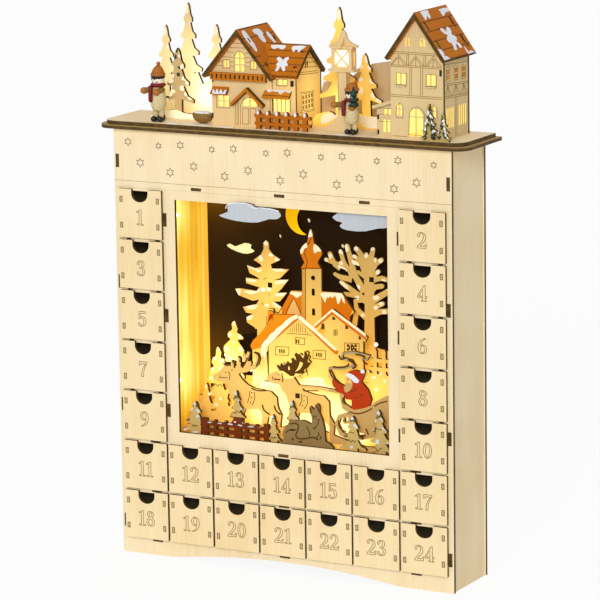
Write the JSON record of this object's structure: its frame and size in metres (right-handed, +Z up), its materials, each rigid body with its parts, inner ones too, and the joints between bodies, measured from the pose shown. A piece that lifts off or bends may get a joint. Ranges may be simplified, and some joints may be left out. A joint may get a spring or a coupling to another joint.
{
  "type": "advent calendar",
  "caption": "Plywood advent calendar cabinet with sliding numbered drawers round a lit winter scene window, and a village of houses, trees and figures on its top.",
  "frame": {"origin": "centre of the overall box in X and Y, at the feet of the cabinet in Z", "axes": "+X to the right seen from the front, +Y from the front to the back, +Z up"},
  "size_m": [0.336, 0.068, 0.466],
  "materials": {
    "plywood": "laser-cut birch plywood, bare face",
    "inside": "laser-cut birch plywood, bare inside board",
    "sky": "plywood stained near black",
    "cloud": "plywood painted grey with a white edge",
    "roof": "plywood stained burnt orange",
    "fence": "plywood stained red brown",
    "glowing": "plywood lit warm yellow by the lamps behind it",
    "taupe": "plywood stained taupe",
    "coat": "turned wood painted cream",
    "brown": "small wood parts stained brown",
    "green": "plywood printed dark green",
    "plastic": "moulded plastic"
  },
  "bodies": {
    "cabinet": {"front_panel": "plywood", "star_fascia": "plywood", "side_panel_left": "plywood", "side_panel_right": "plywood", "cornice_plate": "plywood", "village_plate": "plywood", "chalet_walls": "plywood", "townhouse_walls": "plywood", "lean_to_shed": "plywood", "street_lamp": "plywood", "painted_fir": "plywood", "back_panel": "inside", "drawer_rack_left": "inside", "drawer_rack_right": "inside", "drawer_grid": "inside", "scene_floor": "inside", "top_shelf": "inside", "sleigh_layer": "inside", "sky_panel": "sky", "cloud_valance": "cloud", "back_trees": "glowing", "church_layer": "glowing", "cottage_layer": "glowing", "foreground_layer": "fence", "chalet_roof": "roof", "townhouse_roof": "roof", "rear_silhouette": "taupe", "lamp_firs": "glowing", "front_firs": "green", "picket_fence": "roof", "figure_left": "coat", "figure_right": "coat", "sled": "brown", "battery_box": "plastic"},
    "drawer_01_body": {"drawer_01": "plywood"},
    "drawer_02_body": {"drawer_02": "plywood"},
    "drawer_03_body": {"drawer_03": "plywood"},
    "drawer_04_body": {"drawer_04": "plywood"},
    "drawer_05_body": {"drawer_05": "plywood"},
    "drawer_06_body": {"drawer_06": "plywood"},
    "drawer_07_body": {"drawer_07": "plywood"},
    "drawer_08_body": {"drawer_08": "plywood"},
    "drawer_09_body": {"drawer_09": "plywood"},
    "drawer_10_body": {"drawer_10": "plywood"},
    "drawer_11_body": {"drawer_11": "plywood"},
    "drawer_12_body": {"drawer_12": "plywood"},
    "drawer_13_body": {"drawer_13": "plywood"},
    "drawer_14_body": {"drawer_14": "plywood"},
    "drawer_15_body": {"drawer_15": "plywood"},
    "drawer_16_body": {"drawer_16": "plywood"},
    "drawer_17_body": {"drawer_17": "plywood"},
    "drawer_18_body": {"drawer_18": "plywood"},
    "drawer_19_body": {"drawer_19": "plywood"},
    "drawer_20_body": {"drawer_20": "plywood"},
    "drawer_21_body": {"drawer_21": "plywood"},
    "drawer_22_body": {"drawer_22": "plywood"},
    "drawer_23_body": {"drawer_23": "plywood"},
    "drawer_24_body": {"drawer_24": "plywood"},
    "lid": {"battery_cover": "plastic"},
    "switch": {"switch_slider": "plastic"}
  },
  "joints": [
    {"name": "drawer_01_slide", "type": "slide", "parent": "cabinet", "child": "drawer_01_body", "axis": [0, -1, 0], "range_m": [0, 0.045]},
    {"name": "drawer_02_slide", "type": "slide", "parent": "cabinet", "child": "drawer_02_body", "axis": [0, -1, 0], "range_m": [0, 0.045]},
    {"name": "drawer_03_slide", "type": "slide", "parent": "cabinet", "child": "drawer_03_body", "axis": [0, -1, 0], "range_m": [0, 0.045]},
    {"name": "drawer_04_slide", "type": "slide", "parent": "cabinet", "child": "drawer_04_body", "axis": [0, -1, 0], "range_m": [0, 0.045]},
    {"name": "drawer_05_slide", "type": "slide", "parent": "cabinet", "child": "drawer_05_body", "axis": [0, -1, 0], "range_m": [0, 0.045]},
    {"name": "drawer_06_slide", "type": "slide", "parent": "cabinet", "child": "drawer_06_body", "axis": [0, -1, 0], "range_m": [0, 0.045]},
    {"name": "drawer_07_slide", "type": "slide", "parent": "cabinet", "child": "drawer_07_body", "axis": [0, -1, 0], "range_m": [0, 0.045]},
    {"name": "drawer_08_slide", "type": "slide", "parent": "cabinet", "child": "drawer_08_body", "axis": [0, -1, 0], "range_m": [0, 0.045]},
    {"name": "drawer_09_slide", "type": "slide", "parent": "cabinet", "child": "drawer_09_body", "axis": [0, -1, 0], "range_m": [0, 0.045]},
    {"name": "drawer_10_slide", "type": "slide", "parent": "cabinet", "child": "drawer_10_body", "axis": [0, -1, 0], "range_m": [0, 0.045]},
    {"name": "drawer_11_slide", "type": "slide", "parent": "cabinet", "child": "drawer_11_body", "axis": [0, -1, 0], "range_m": [0, 0.045]},
    {"name": "drawer_12_slide", "type": "slide", "parent": "cabinet", "child": "drawer_12_body", "axis": [0, -1, 0], "range_m": [0, 0.045]},
    {"name": "drawer_13_slide", "type": "slide", "parent": "cabinet", "child": "drawer_13_body", "axis": [0, -1, 0], "range_m": [0, 0.045]},
    {"name": "drawer_14_slide", "type": "slide", "parent": "cabinet", "child": "drawer_14_body", "axis": [0, -1, 0], "range_m": [0, 0.045]},
    {"name": "drawer_15_slide", "type": "slide", "parent": "cabinet", "child": "drawer_15_body", "axis": [0, -1, 0], "range_m": [0, 0.045]},
    {"name": "drawer_16_slide", "type": "slide", "parent": "cabinet", "child": "drawer_16_body", "axis": [0, -1, 0], "range_m": [0, 0.045]},
    {"name": "drawer_17_slide", "type": "slide", "parent": "cabinet", "child": "drawer_17_body", "axis": [0, -1, 0], "range_m": [0, 0.045]},
    {"name": "drawer_18_slide", "type": "slide", "parent": "cabinet", "child": "drawer_18_body", "axis": [0, -1, 0], "range_m": [0, 0.045]},
    {"name": "drawer_19_slide", "type": "slide", "parent": "cabinet", "child": "drawer_19_body", "axis": [0, -1, 0], "range_m": [0, 0.045]},
    {"name": "drawer_20_slide", "type": "slide", "parent": "cabinet", "child": "drawer_20_body", "axis": [0, -1, 0], "range_m": [0, 0.045]},
    {"name": "drawer_21_slide", "type": "slide", "parent": "cabinet", "child": "drawer_21_body", "axis": [0, -1, 0], "range_m": [0, 0.045]},
    {"name": "drawer_22_slide", "type": "slide", "parent": "cabinet", "child": "drawer_22_body", "axis": [0, -1, 0], "range_m": [0, 0.045]},
    {"name": "drawer_23_slide", "type": "slide", "parent": "cabinet", "child": "drawer_23_body", "axis": [0, -1, 0], "range_m": [0, 0.045]},
    {"name": "drawer_24_slide", "type": "slide", "parent": "cabinet", "child": "drawer_24_body", "axis": [0, -1, 0], "range_m": [0, 0.045]},
    {"name": "lid_slide", "type": "slide", "parent": "cabinet", "child": "lid", "axis": [0, 1, 0], "range_m": [0, 0.025]},
    {"name": "switch_slide", "type": "slide", "parent": "cabinet", "child": "switch", "axis": [1, 0, 0], "range_m": [0, 0.004]}
  ]
}
